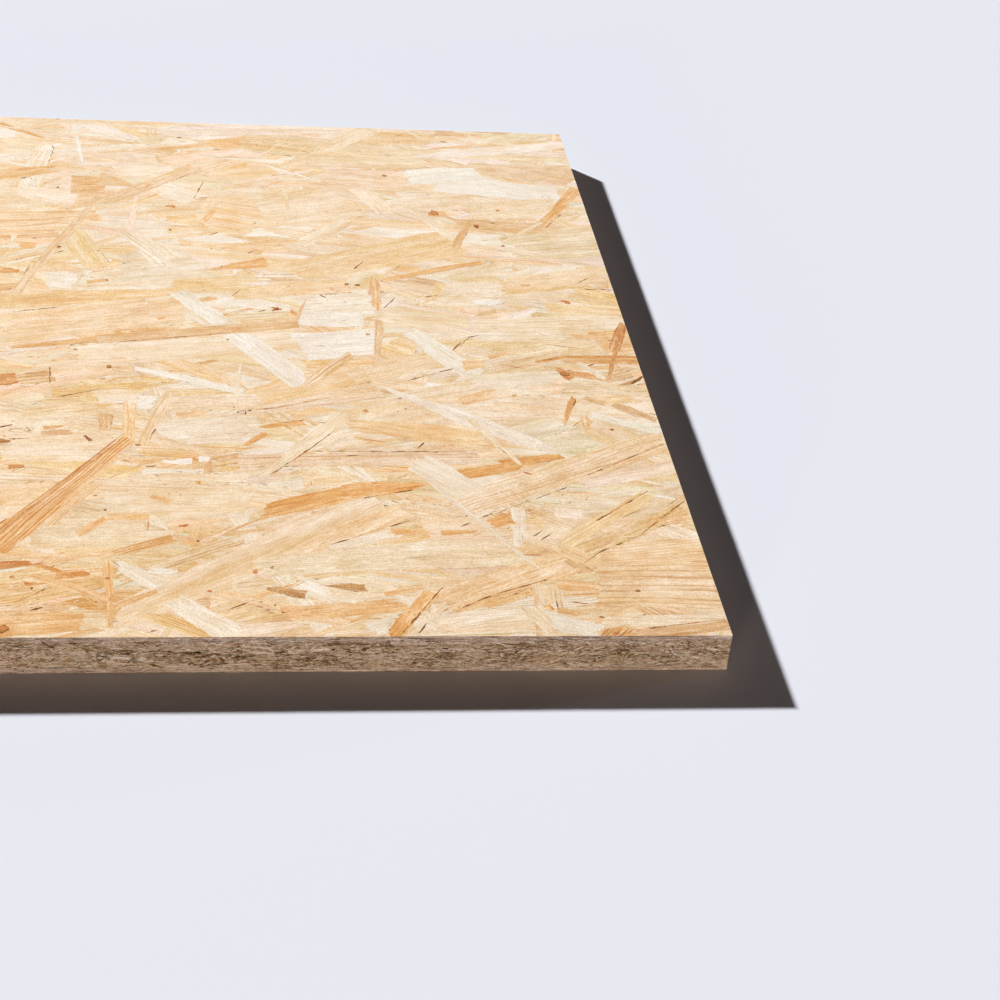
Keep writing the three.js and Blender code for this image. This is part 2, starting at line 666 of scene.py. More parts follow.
def grow(rng, centres, length, width, spread, any_way, tones, rag=(0.4, 1.5), fine=1.3):
    """Random strands at the given centres."""
    out = []
    names = list(tones)
    odds = np.array([tones[k] for k in names], float)
    odds /= odds.sum()
    for c in centres:
        ln, w = rng.triangular(*length), rng.triangular(*width)
        ang = rng.uniform(-math.pi / 2, math.pi / 2) if rng.random() < any_way else rng.normal(0, spread)
        if rng.random() < 0.5:
            ang += math.pi
        tone = names[rng.choice(len(names), p=odds)]
        slim = w < 4
        shape = rng.choice(["blunt", "lens", "dart"], p=[0.3, 0.3, 0.4] if slim else [0.66, 0.1, 0.24])
        end = rng.uniform(0.35, 1.0) if rng.random() < 0.4 else rng.uniform(0.85, 1.0)
        ring = strand_outline(ln, w, w * end, rng, shape, rng.uniform(*rag), 13.0 if slim else 8.0)
        if w > 1.3 and fine:
            ring = fray(ring, rng, max(fine, 0.25 * w) if slim else fine, min(1.0, 0.3 * w))
        ring = untangle(ring)
        if len(ring) < 3:
            continue
        base = jitter(tone, rng, 0.05, 0.22)
        ends = jitter(names[rng.choice(len(names), p=odds)], rng, 0.05, 0.22) - base
        sides = lin(TONES["golden"]) - base
        slope = np.stack([ends * rng.uniform(-0.9, 0.9) / ln, sides * rng.uniform(-0.6, 0.6) / max(w, 4)])
        out.append(
            Strand(
                c, ang, rotate(ring, ang) + c, w, base, slope, rng.uniform(0.0, 1.0),
                random_traits(rng, tone), rng.uniform(-400, 400, 3),
            )
        )
    return out


CELL = 0.5


def row_spans(ring, hx, hy):
    """The grid cells under an outline, as (row, first, last) runs."""
    x, y = (ring[:, 0] + hx) / CELL, (ring[:, 1] + hy) / CELL
    nx, ny = int(round(2 * hx / CELL)), int(round(2 * hy / CELL))
    j0, j1 = max(int(y.min()), 0), min(int(y.max()) + 1, ny)
    if j0 >= j1:
        return []
    rows = np.arange(j0, j1)
    mid = rows[:, None] + 0.5
    x2, y2 = np.roll(x, -1), np.roll(y, -1)
    crosses = (y[None] <= mid) != (y2[None] <= mid)
    dy = np.where(np.abs(y2 - y) < 1e-9, 1e-9, y2 - y)
    at = np.where(crosses, x[None] + (mid - y[None]) * ((x2 - x) / dy)[None], np.inf)
    at.sort(axis=1)
    out = []
    for k in range(0, int(crosses.sum(1).max(initial=0)), 2):
        a, b = at[:, k], at[:, k + 1]
        ok = np.isfinite(b)
        i0 = np.clip(np.floor(a[ok] + 0.5), 0, nx).astype(int)
        i1 = np.clip(np.maximum(np.floor(b[ok] + 0.5), i0 + 1), 0, nx).astype(int)
        out += [(j, p, q) for j, p, q in zip(rows[ok], i0, i1) if q > p]
    return out


def lay(strands, hx, hy):
    """Gives each strand its level, as high as it can lie below all that hides some of
    it, so that the face is nearly flush. The buried ones are left out."""
    shape = (int(round(2 * hy / CELL)), int(round(2 * hx / CELL)))
    runs = [row_spans(st.ring, hx, hy) for st in strands]
    seen = np.full(shape, -1, np.int32)
    for i, rr in enumerate(runs):
        for j, p, q in rr:
            seen[j, p:q] = i
    count = np.bincount(seen[seen >= 0].ravel(), minlength=len(strands))
    bare = float((seen < 0).mean())
    down = np.full((shape[0] + 2, shape[1] + 2), -1, np.int16)  # one cell wider all round
    kept = []
    for i in range(len(strands) - 1, -1, -1):
        if count[i] < 4:
            continue
        st = strands[i]
        depth = 1 + max(int(down[j : j + 3, p : q + 2].max()) for j, p, q in runs[i])
        for j, p, q in runs[i]:
            down[j + 1, p + 1 : q + 1][seen[j, p:q] == i] = depth
        st.level = -depth + (i % 7) * 0.04  # neighbours in one layer never lie quite level
        kept.append(st)
    kept.reverse()
    floor = min(st.level for st in kept) - 1
    for st in kept:
        st.level -= floor
    return kept, bare, -floor - down[1:-1, 1:-1].astype(float)


def perch(marks, shown, hx, hy):
    """Puts small marks just above whatever shows where they are."""
    ny, nx = shown.shape
    for m in marks:
        side = np.roll(m.ring, -1, 0) - m.ring
        p = np.concatenate([m.ring + side * k for k in (0, 0.25, 0.5, 0.75)] + [m.ring.mean(0)[None]])
        i = np.clip(((p[:, 0] + hx) / CELL).astype(int), 0, nx - 1)
        j = np.clip(((p[:, 1] + hy) / CELL).astype(int), 0, ny - 1)
        m.level = float(shown[j, i].max()) + 0.6
        shown[j, i] = m.level


KEY, LINES, PITS = [], [], []  # what is read off the picture, in its pixels


def key(x0, y0, x1, y1, w0, w1, tone, ring=0.1, freq=0.4, streak=0.3, shape="blunt", rag=0.7, heart=None, up=0):
    """A strand between two points, w0 and w1 across at its ends; up: over the others."""
    if heart is None:
        heart = 0.1 if tone in ("white", "ivory") else 0.45
    KEY.append((x0, y0, x1, y1, w0, w1, tone, ring, freq, streak, shape, rag, heart, up))


def line(x0, y0, x1, y1, w):
    """A dark seam between two points; where it gapes, its shade is painted in."""
    LINES.append((x0, y0, x1, y1, w))


def pit(x, y, w, h, tone):
    """A small dark mark, w across and h deep as seen; the list holds flecks of bark and small hollows whose shade is
    painted in.
    """
    PITS.append((x, y, w, h, tone))


def across_view(x, y, d, w):
    """How far apart, in mm, two points of the top face are that are seen w pixels
    apart, square to the direction d of the picture."""
    p = on_top(x - d[1] * w / 2, y + d[0] * w / 2)[:2]
    q = on_top(x + d[1] * w / 2, y - d[0] * w / 2)[:2]
    return q - p


def key_strands():
    out = []
    for i, (x0, y0, x1, y1, w0, w1, tone, ring, freq, streak, shape, rag, heart, up) in enumerate(KEY):
        rng = np.random.default_rng(9000 + i * 7)
        a, b = on_top(x0, y0)[:2], on_top(x1, y1)[:2]
        d = np.array([x1 - x0, y1 - y0], float)
        d /= np.linalg.norm(d)
        axis = b - a
        ln = float(np.linalg.norm(axis))
        axis /= ln
        wide = []
        for x, y, w in ((x0, y0, w0), (x1, y1, w1)):
            across = across_view(x, y, d, w)
            wide.append(abs(float(axis[0] * across[1] - axis[1] * across[0])))
        ang, c = math.atan2(axis[1], axis[0]), (a + b) / 2
        c = c - (CX, CY)
        ring_mm = strand_outline(ln, wide[0], wide[1], rng, shape, rag, 7.0)
        ring_mm = untangle(fray(ring_mm, rng, 1.2, min(1.0, 0.25 * max(wide))))
        pull = float(np.clip((440 - (y0 + y1) / 2) / 700 + 0.05, 0.04, 0.40))
        base = jitter(tone, rng, 0.015, pull * (0.5 if tone in ("white", "orange", "amber", "brown", "rust") else 1.0))
        drift = base * rng.uniform(-0.10, 0.10) * np.array([0.6, 1.0, 1.5])
        slope = np.stack([drift / ln, base * rng.uniform(-0.06, 0.06) * np.array([0.6, 1.0, 1.5]) / max(wide)])
        out.append(
            Strand(
                c, ang, rotate(ring_mm, ang) + c, max(wide), base, slope, heart,
                (ring, freq, streak), rng.uniform(-400, 400, 3), None, up,
            )
        )
    out.sort(key=lambda st: (st.up, -abs(area_of(st.ring))))  # the small ones lie over the large
    return out


def key_marks():
    rng = np.random.default_rng(77)
    out = []
    for x0, y0, x1, y1, w in LINES:
        a, b = on_top(x0, y0)[:2] - (CX, CY), on_top(x1, y1)[:2] - (CX, CY)
        ln = float(np.linalg.norm(b - a))
        pieces = max(1, int(round(ln / 9)))
        d = (b - a) / ln
        ang = math.atan2(d[1], d[0])
        for k in range(pieces):
            p = a + d * ln * (k + rng.uniform(-0.15, 0.1)) / pieces
            q = a + d * ln * (k + 1 + rng.uniform(-0.3, 0.15)) / pieces
            tone = jitter(rng.choice(["umber", "bark", "redbrown"], p=[0.45, 0.3, 0.25]), rng, 0.1)
            out.append(plain((p + q) / 2, ang, sliver(p, q, w * rng.uniform(0.5, 0.9), rng), tone, None, rng))
            for _ in range(rng.integers(0, 3)):  # where it gapes, its shade painted in
                c = p + (q - p) * rng.uniform(0.1, 0.9)
                half = d * rng.uniform(0.5, 2.2)
                tone = jitter(rng.choice(["gap", "umber"]), rng, 0.1)
                out.append(plain(c, ang, sliver(c - half, c + half, w * rng.uniform(0.6, 1.15), rng), tone, None, rng))
    # pits: bark flecks, and hollows with their shade painted in
    for x, y, w, h, tone in PITS:
        c = on_top(x, y)[:2] - (CX, CY)
        ex = on_top(x + w / 2, y)[:2] - on_top(x - w / 2, y)[:2]
        ey = on_top(x, y - h / 2)[:2] - on_top(x, y + h / 2)[:2]
        ang = math.atan2(ex[1], ex[0])
        deep = float(np.linalg.norm(ey))
        for k in range(1 + (w > 2) + (w > 3) + (w > 7)):
            mid = c + ex * rng.uniform(-0.2, 0.2) * min(k, 1) + ey * rng.uniform(-0.25, 0.25) * min(k, 1)
            half = rotate((ex * rng.uniform(0.25, 0.5))[None], rng.normal(0, 0.4))[0]
            out.append(
                plain(
                    mid, ang, sliver(mid - half * 1.15, mid + half * 1.15, deep * rng.uniform(0.6, 1.15), rng),
                    jitter(tone if k < 2 else "redbrown", rng, 0.1), None, rng,
                )
            )
    near = [on_top(x, y)[:2] - (CX, CY) for x, y in ((265, 608), (30, 604), (420, 612), (236, 412), (560, 500), (250, 484), (20, 430), (20, 585), (290, 420), (510, 510), (350, 290))]
    out += crumbs([(p[0], p[1], rng.uniform(8, 22), rng.uniform(3, 6), 26) for p in near], 78)
    return out


# ends, widths, tone, latewood contrast, its lines per mm, dark streaks, shape
# front left
key(-12, 586, 116, 574, 34, 26, "straw", 0.3, 0.5, 0.4)
key(-12, 549, 126, 437, 32, 17, "rose", 1.2, 0.5, 0.4, heart=0.9, up=1)
key(0, 526, 125, 432, 2, 1.5, "rust", up=3)
key(-8, 539, 118, 441, 2, 1.5, "brown", up=3)
key(60, 507, 116, 458, 3, 4, "fawn", 0.3, up=2)
key(47, 526, 102, 481, 9, 6, "buff", 0.9, 0.6, 0.3, up=2)
key(-20, 626, 84, 622, 24, 20, "amber")
key(-10, 612, 70, 606, 12, 10, "tan", 0.2)
key(25, 530, 175, 530, 40, 30, "olive")
key(0, 556, 115, 555, 5, 4, "buff")
key(76, 534, 108, 517, 9, 6, "fawn")
key(104, 517, 150, 517, 7, 5, "golden")
key(110, 554, 174, 537, 7, 10, "amber", 0.6, 0.6, 0.4)
key(112, 528, 146, 524, 14, 12, "cream")
key(149, 518, 147, 532, 3, 2, "redbrown")
key(152, 521, 168, 531, 5, 4, "ivory")
key(178, 543, 200, 542, 4, 3, "fawn")
key(150, 496, 172, 502, 4, 5, "fawn")
key(-5, 566, 32, 562, 10, 6, "redbrown")
key(33, 564, 60, 572, 3, 5, "rust")
key(55, 574, 90, 573, 11, 5, "rust")
key(22, 571, 112, 602, 8, 8, "fawn")
key(0, 604, 100, 585, 14, 12, "straw", 0.9, 0.6, 0.3)
key(80, 592, 106, 606, 6, 8, "amber")
key(107, 558, 110, 594, 8, 8, "fawn", 0.5)
key(109, 594, 110, 626, 7, 5, "amber")
key(112, 582, 240, 540, 13, 12, "olive", 0.8, 0.5, 0.3)
key(112, 608, 158, 591, 6, 5, "amber", 0.4)
key(150, 571, 178, 572, 6, 4, "white")
key(117, 560, 160, 586, 12, 18, "ivory")
key(140, 612, 222, 640, 10, 16, "golden", 0.9, 0.7, 0.3)
key(172, 599, 236, 638, 18, 26, "ivory", up=1)
# front middle
key(300, 552, 412, 508, 14, 22, "buff")
key(113, 618, 385, 505, 30, 46, "pale", 0.12, 0.25, 0.25)
key(260, 512, 345, 494, 14, 16, "orange", 0.2, 0.35, 0.7)
key(335, 493, 432, 484, 15, 13, "orange", 0.2, 0.35, 0.7, "dart")
key(330, 548, 400, 532, 8, 10, "ivory")
key(390, 531, 432, 533, 8, 3, "orange")
key(440, 533, 478, 530, 4, 6, "orange")
key(258, 566, 525, 552, 26, 34, "cream", 0.3, 0.75, 0.15, heart=0.2)
key(258, 587, 308, 595, 3, 9, "bark")
key(325, 586, 366, 588, 4, 8, "bark")
key(332, 594, 402, 590, 12, 8, "cream")
key(385, 594, 426, 588, 5, 5, "fawn")
key(300, 583, 338, 602, 12, 12, "ivory")
key(282, 614, 412, 604, 14, 12, "fawn", heart=0.8)
key(228, 634, 300, 624, 16, 12, "pink")
key(266, 638, 312, 630, 5, 5, "tan")
key(368, 630, 396, 622, 16, 18, "white")
key(392, 638, 433, 592, 16, 14, "orange", up=1)
key(406, 638, 446, 603, 7, 7, "pale")
# front right
key(592, 582, 722, 582, 56, 56, "buff", 0.6, 0.22, 0.6)
key(596, 556, 706, 548, 28, 24, "honey", 0.35, 0.5, 0.4)
key(648, 523, 692, 517, 6, 8, "fawn", 0.3)
key(618, 538, 640, 537, 3, 4, "golden")
key(600, 622, 732, 618, 12, 12, "cream")
key(636, 636, 734, 624, 14, 12, "tan")
key(440, 606, 570, 560, 36, 30, "honey", 0.35, 0.4, 0.3)
key(485, 604, 530, 592, 10, 8, "amber")
key(548, 584, 552, 606, 36, 24, "cream", 0.5, 0.6, 0.4)
key(556, 584, 600, 588, 10, 12, "fawn")
key(526, 606, 554, 632, 22, 16, "cream", 0.2)
key(540, 616, 604, 634, 14, 18, "white")
key(558, 610, 580, 615, 6, 4, "amber")
key(600, 635, 634, 628, 12, 10, "straw", 0.2)
key(600, 637, 611, 628, 3, 3, "redbrown", up=2)
key(604, 638, 616, 627, 3, 3, "brown", up=2)
key(609, 638, 620, 627, 3, 3, "rust", up=2)
key(613, 638, 625, 626, 3, 3, "redbrown", up=2)
key(618, 638, 629, 628, 3, 3, "brown", up=2)
key(622, 637, 636, 627, 3, 3, "rust", up=2)
key(490, 524, 511, 518, 10, 14, "orange")
key(517, 506, 521, 548, 14, 16, "ivory")
key(556, 512, 586, 514, 11, 9, "pink")
key(524, 522, 546, 522, 17, 17, "golden", 0.9, 1.3, 0.6, "lens")
key(530, 545, 557, 525, 5, 6, "pale")
key(560, 548, 652, 494, 16, 16, "golden", 0.3, 0.4, 0.5, heart=0.3)
key(572, 556, 686, 508, 20, 16, "straw", 0.5, 0.4, 0.6, heart=0.3)
key(600, 548, 645, 516, 4, 3, "tan", up=1)
key(652, 530, 684, 506, 4, 3, "straw", up=1)
# middle left
key(8, 347, 130, 336, 3, 10, "amber")
key(96, 339, 300, 325, 11, 8, "tan", up=1)
key(75, 356, 300, 338, 22, 24, "cream")
key(28, 354, 80, 351, 5, 6, "cream")
key(30, 366, 130, 360, 10, 12, "pale")
key(134, 368, 205, 382, 4, 7, "white")
key(190, 380, 244, 392, 7, 6, "white")
key(140, 379, 172, 381, 6, 2, "golden")
key(136, 387, 180, 382, 2, 2, "straw")
key(-6, 380, 17, 378, 13, 12, "redbrown")
key(16, 380, 52, 376, 10, 12, "tan", 0.5)
key(12, 400, 44, 396, 10, 8, "cream")
key(20, 415, 120, 405, 18, 14, "pale", 0.4)
key(97, 406, 111, 406, 6, 6, "honey")
key(106, 413, 105, 431, 18, 12, "tan")
key(83, 434, 91, 441, 3, 4, "russet")
key(43, 428, 66, 426, 4, 4, "rust")
key(40, 434, 74, 432, 6, 5, "tan")
key(-4, 442, 12, 441, 7, 5, "bark")
key(-10, 447, 118, 445, 32, 28, "cream")
key(-10, 502, 100, 488, 30, 22, "buff")
key(96, 506, 250, 500, 30, 34, "cream")
key(126, 476, 250, 478, 10, 9, "cream")
key(96, 398, 140, 396, 16, 14, "cream")
key(184, 432, 250, 428, 26, 24, "ivory", 0.25, 0.5, 0.2)
key(8, 467, 24, 466, 4, 3, "redbrown")
key(160, 404, 262, 402, 16, 18, "pale", 0.2)
key(158, 432, 262, 425, 24, 20, "ivory", 0.3)
key(137, 402, 157, 402, 16, 12, "white")
key(128, 394, 130, 447, 14, 13, "golden", 0.6, 0.45, 0.5)
key(170, 391, 141, 444, 12, 11, "buff", 0.4)
key(138, 463, 162, 459, 5, 3, "amber")
key(206, 475, 212, 458, 8, 6, "tan")
key(208, 460, 240, 456, 5, 6, "tan")
key(214, 470, 240, 468, 6, 5, "golden")
key(140, 472, 205, 471, 6, 5, "white")
# middle
key(296, 346, 380, 342, 30, 30, "white")
key(238, 402, 360, 372, 20, 26, "honey", 0.2)
key(300, 386, 354, 352, 9, 8, "buff", 1.0, 0.4, 0.3)
key(372, 316, 470, 324, 26, 24, "cream", 0.2)
key(388, 342, 416, 352, 22, 16, "golden", 0.2)
key(462, 350, 502, 356, 10, 8, "cream", 0.2)
key(350, 378, 470, 350, 20, 22, "pale")
key(302, 386, 340, 356, 3, 2, "buff")
key(318, 382, 352, 356, 4, 3, "amber")
key(232, 331, 304, 384, 19, 22, "white")
key(373, 275, 378, 313, 13, 9, "fawn", 0.3, 0.4, 0.5, up=1)
key(379, 320, 377, 364, 9, 7, "tan", 0.3, 0.4, 0.5, up=1)
key(400, 398, 480, 384, 12, 14, "pale", 0.4)
key(366, 418, 425, 398, 8, 8, "pale")
key(258, 427, 306, 422, 3, 6, "orange")
key(270, 437, 300, 428, 3, 3, "honey")
key(244, 446, 266, 433, 3, 6, "orange")
key(344, 424, 490, 440, 12, 26, "honey")
key(312, 446, 350, 432, 10, 12, "cream")
key(225, 460, 480, 456, 12, 14, "pink", 0.5)
key(258, 480, 342, 414, 8, 18, "cream")
key(406, 330, 480, 378, 14, 18, "white")
key(241, 358, 236, 412, 3, 3, "cream")
key(364, 381, 566, 456, 7, 17, "ivory", 0.05, 0.3, 0.1, "lens", up=1)
key(469, 418, 530, 472, 7, 4, "cream", 0.2, up=2)
key(411, 460, 476, 495, 25, 23, "ivory", 0.1, 0.3, 0.2, up=2)
key(408, 465, 552, 578, 5, 5, "ivory", 0.1, 0.3, 0.2, "lens", up=3)
# middle right
key(470, 332, 640, 330, 26, 30, "cream", 0.35, 0.3)
key(536, 362, 562, 358, 3, 3, "rust")
key(560, 359, 642, 360, 8, 9, "amber", 0.5)
key(536, 362, 560, 357, 2, 2, "redbrown", up=1)
key(558, 357, 640, 357, 2, 2, "rust", up=1)
key(562, 361, 642, 362, 1.5, 2, "rust", up=1)
key(598, 344, 642, 340, 26, 22, "fawn", 0.3)
key(536, 331, 566, 336, 4, 6, "cream")
key(566, 336, 606, 338, 6, 4, "fawn")
key(462, 366, 486, 364, 12, 6, "fawn")
key(488, 358, 508, 352, 4, 4, "fawn")
key(554, 368, 572, 378, 6, 8, "redbrown")
key(568, 373, 602, 379, 8, 5, "rust")
key(578, 362, 606, 380, 5, 5, "ivory")
key(608, 352, 622, 322, 3, 4, "redbrown", up=1)
key(616, 352, 624, 323, 8, 9, "redbrown", 0.4, 0.5, 0.5, up=1)
key(609, 380, 617, 348, 4, 6, "redbrown", up=1)
key(462, 383, 560, 378, 14, 16, "cream")
key(560, 385, 650, 388, 22, 16, "cream", 0.3)
key(618, 386, 641, 379, 4, 3, "bark", up=1)
key(598, 380, 632, 372, 10, 12, "tan", 0.3)
key(600, 402, 640, 398, 10, 8, "straw", 0.3)
key(584, 417, 588, 430, 8, 7, "amber", up=1)
key(455, 402, 500, 392, 10, 10, "fawn")
key(495, 388, 560, 398, 8, 6, "cream")
key(505, 436, 566, 424, 26, 20, "grey")
key(574, 396, 564, 428, 7, 3, "rust")
key(576, 404, 600, 410, 14, 8, "cream")
key(584, 398, 606, 404, 5, 5, "tan")
key(578, 428, 592, 420, 8, 8, "tan")
key(612, 404, 658, 421, 7, 5, "tan", 0.8, 0.8, 0.5)
key(590, 414, 662, 432, 8, 7, "white")
key(442, 478, 526, 466, 14, 13, "orange", 0.2, 0.35, 0.9, up=1)
key(500, 464, 563, 456, 10, 6, "orange", 0.2, 0.35, 0.6, up=1)
key(580, 484, 676, 466, 12, 14, "pink")
key(446, 512, 668, 438, 28, 26, "buff", 0.45, 0.42, 0.3, heart=0.3)
# back left
key(-10, 176, 60, 168, 12, 8, "amber", 0.4)
key(-10, 222, 100, 216, 30, 24, "buff", 0.5, 0.15, 0.4)
key(-14, 198, 64, 196, 24, 18, "olive")
key(18, 190, 78, 200, 14, 14, "ivory")
key(70, 184, 106, 184, 20, 14, "amber", 0.5, 0.4, 0.5)
key(98, 178, 134, 186, 14, 4, "tan")
key(112, 172, 176, 172, 14, 12, "cream")
key(163, 188, 195, 200, 18, 14, "ivory")
key(98, 203, 198, 166, 9, 11, "tan", 0.2, 0.3, 0.3, up=1)
key(20, 246, 37, 245, 6, 5, "orange")
key(88, 218, 99, 218, 6, 5, "orange")
key(0, 261, 44, 252, 3, 4, "tan")
key(-4, 270, 20, 271, 6, 3, "rust")
key(194, 214, 262, 214, 44, 44, "honey", 0.3, 0.4, 0.4, "lens")
key(212, 192, 264, 193, 9, 12, "cream")
key(204, 210, 262, 219, 34, 34, "honey", 0.5, 0.3, 0.2, "lens", heart=0.8)
key(202, 222, 213, 210, 6, 7, "orange", 0.6)
key(126, 230, 170, 262, 10, 26, "ivory", 0.4)
key(120, 268, 205, 262, 30, 34, "grey")
key(82, 268, 122, 262, 6, 5, "golden")
key(86, 282, 108, 280, 4, 3, "amber")
key(70, 286, 150, 283, 5, 5, "cream")
key(-10, 330, 185, 309, 36, 26, "buff", 0.15)
key(-10, 322, 150, 306, 16, 20, "buff", 0.2)
key(-10, 302, 180, 290, 20, 10, "straw")
key(172, 286, 262, 282, 16, 20, "straw")
key(267, 262, 204, 270, 11, 4, "orange", 0.3, 0.4, 0.6, "dart")
key(200, 300, 218, 298, 4, 4, "amber")
key(157, 319, 167, 317, 3, 2, "orange")
key(212, 247, 262, 252, 5, 6, "fawn")
key(177, 291, 222, 324, 12, 15, "white")
key(66, 210, 198, 168, 7, 9, "tan")
key(16, 292, 100, 194, 14, 7, "tan", 0.25, 0.35, 0.4)
# back middle
key(320, 176, 470, 184, 22, 22, "buff", 0.2)
key(300, 160, 430, 163, 14, 12, "pale", 0.2)
key(262, 212, 350, 200, 36, 36, "pale")
key(284, 190, 288, 212, 5, 5, "pale")
key(216, 248, 309, 240, 6, 6, "fawn", 0.3, 0.4, 0.4, "lens", up=1)
key(300, 244, 350, 220, 10, 10, "cream")
key(232, 292, 350, 286, 16, 14, "honey")
key(236, 284, 268, 283, 3, 3, "white")
key(298, 305, 372, 302, 36, 34, "ivory")
key(294, 326, 306, 298, 3, 3, "tan")
key(290, 272, 462, 240, 22, 30, "straw", 0.1)
key(350, 230, 380, 224, 3, 3, "fawn")
key(404, 178, 480, 174, 16, 14, "white")
key(392, 204, 486, 200, 18, 16, "pale", 0.15)
key(428, 214, 446, 214, 7, 6, "orange")
key(404, 206, 456, 240, 6, 8, "pale")
key(455, 248, 472, 217, 10, 5, "amber")
key(380, 281, 484, 262, 5, 5, "orange")
# back right
key(430, 182, 560, 196, 18, 18, "white")
key(455, 166, 580, 178, 8, 24, "tan")
key(470, 214, 560, 206, 18, 18, "cream")
key(505, 248, 606, 240, 30, 34, "olive", 0.3)
key(504, 242, 542, 222, 4, 3, "pale")
key(468, 243, 546, 256, 4, 6, "cream")
key(438, 292, 576, 296, 22, 20, "pale", 0.25, 0.4, 0.3)
key(498, 288, 600, 276, 20, 18, "honey", 0.25)
key(519, 286, 530, 285, 3, 2, "rust")
key(472, 303, 504, 301, 5, 5, "white")
key(470, 316, 498, 311, 3, 4, "tan")
key(576, 188, 541, 226, 10, 10, "orange")
# the lines of the amber strand, front left, and one cover farther back
key(0, 534, 122, 439, 1.5, 1.5, "rust", up=3)
key(0, 548, 116, 449, 2, 1.5, "amber", up=3)
key(296, 317, 366, 319, 18, 14, "white", 0.1)
key(557, 546, 599, 566, 17, 10, "golden", 0.3, 0.4, 0.3, heart=0.2, up=1)
# seams
line(330, 545, 408, 521, 1.3)
line(365, 498, 412, 490, 1.3)
line(230, 609, 250, 602, 1.3)
line(400, 636, 442, 588, 1.3)
line(420, 632, 428, 622, 1.3)
line(31, 610, 47, 606, 2.4)
line(12, 604, 48, 588, 1.3)
line(146, 633, 161, 629, 1.3)
line(481, 518, 490, 514, 1.3)
line(500, 512, 507, 509, 1.3)
line(512, 507, 532, 500, 1.3)
line(535, 499, 570, 486, 1.3)
line(460, 527, 472, 522, 1.3)
line(583, 477, 665, 443, 1.3)
line(598, 520, 650, 490, 1.3)
line(583, 564, 600, 552, 1.3)
line(600, 552, 640, 535, 1.3)
line(640, 535, 683, 502, 1.3)
line(625, 516, 645, 508, 1.3)
line(464, 607, 495, 594, 1.3)
line(495, 594, 550, 579, 1.3)
line(515, 594, 527, 589, 1.3)
line(572, 602, 590, 604, 1.3)
line(534, 536, 543, 530, 1.3)
line(543, 539, 552, 533, 1.3)
line(650, 628, 728, 619, 1.3)
line(0, 427, 15, 424, 2.4)
line(8, 430, 22, 428, 1.3)
line(12, 439, 28, 438, 1.3)
line(62, 396, 105, 388, 1.3)
line(20, 386, 32, 387, 1.3)
line(50, 368, 50, 384, 1.3)
line(120, 342, 225, 333, 1.3)
line(155, 430, 150, 437, 1.3)
line(145, 467, 160, 465, 1.3)
line(240, 411, 275, 408, 1.3)
line(275, 408, 295, 404, 1.3)
line(295, 404, 320, 399, 1.3)
line(393, 384, 410, 380, 1.3)
line(410, 380, 455, 368, 1.3)
line(418, 448, 425, 442, 1.3)
line(310, 451, 470, 452, 1.3)
line(345, 456, 362, 455, 1.3)
line(270, 475, 310, 449, 1.3)
line(310, 449, 335, 430, 1.3)
line(452, 351, 463, 340, 1.3)
line(468, 403, 482, 398, 1.3)
line(632, 384, 642, 377, 2.4)
line(576, 400, 571, 412, 1.3)
line(573, 427, 583, 419, 1.3)
line(460, 345, 470, 337, 1.3)
line(470, 337, 480, 335, 1.3)
line(20, 311, 58, 307, 1.3)
line(124, 316, 142, 311, 1.3)
line(203, 182, 193, 200, 1.3)
line(210, 235, 218, 232, 1.3)
line(248, 253, 258, 249, 1.3)
line(232, 296, 240, 290, 1.3)
line(355, 268, 365, 260, 1.3)
line(385, 307, 395, 298, 1.3)
line(420, 297, 456, 294, 1.3)
line(452, 300, 463, 293, 1.3)
line(258, 312, 268, 309, 1.3)
line(490, 223, 503, 225, 1.3)
line(578, 283, 590, 277, 1.3)
line(583, 289, 612, 290, 1.3)
line(492, 299, 500, 298, 1.3)
line(560, 215, 545, 228, 1.3)
# pits
pit(105, 510, 3, 2, "umber")
pit(183, 526, 9, 3, "redbrown")
pit(198, 541, 3, 3, "umber")
pit(12, 577, 5, 3, "umber")
pit(29, 584, 7, 6, "redbrown")
pit(32, 588, 3, 3, "gap")
pit(3, 629, 12, 9, "umber")
pit(96, 602, 3, 2, "gap")
pit(108, 578, 4, 3, "umber")
pit(209, 591, 5, 4, "redbrown")
pit(255, 571, 5, 5, "redbrown")
pit(272, 568, 4, 4, "umber")
pit(244, 604, 3, 2, "umber")
pit(252, 608, 4, 2, "brown")
pit(261, 602, 3, 2, "umber")
pit(268, 610, 3, 2, "umber")
pit(275, 605, 2, 2, "gap")
pit(283, 612, 4, 2, "brown")
pit(289, 606, 2, 2, "umber")
pit(638, 591, 6, 3, "umber")
pit(602, 617, 5, 3, "umber")
pit(75, 349, 4, 3, "umber")
pit(109, 366, 5, 4, "umber")
pit(366, 411, 5, 4, "redbrown")
pit(368, 334, 4, 3, "umber")
pit(139, 445, 5, 2, "umber")
pit(514, 395, 6, 2, "umber")
pit(565, 374, 10, 6, "umber")
pit(234, 407, 2, 2, "umber")
pit(238, 412, 3, 2, "umber")
pit(236, 418, 2, 2, "umber")
pit(58, 187, 3, 3, "umber")
pit(170, 206, 10, 3, "umber")
pit(170, 230, 3, 2, "umber")
pit(59, 247, 4, 3, "umber")
pit(107, 280, 3, 2, "umber")
pit(222, 266, 2, 2, "gap")
pit(434, 213, 10, 5, "redbrown")
pit(436, 214, 5, 3, "umber")
pit(384, 176, 4, 3, "umber")
pit(347, 284, 4, 3, "umber")
pit(357, 285, 5, 3, "umber")
pit(345, 302, 2, 2, "gap")
pit(275, 309, 10, 3, "umber")
pit(477, 226, 5, 4, "umber")
pit(503, 246, 4, 2, "umber")
pit(498, 210, 4, 3, "amber")
pit(566, 302, 10, 3, "redbrown")
pit(612, 430, 5, 4, "redbrown")


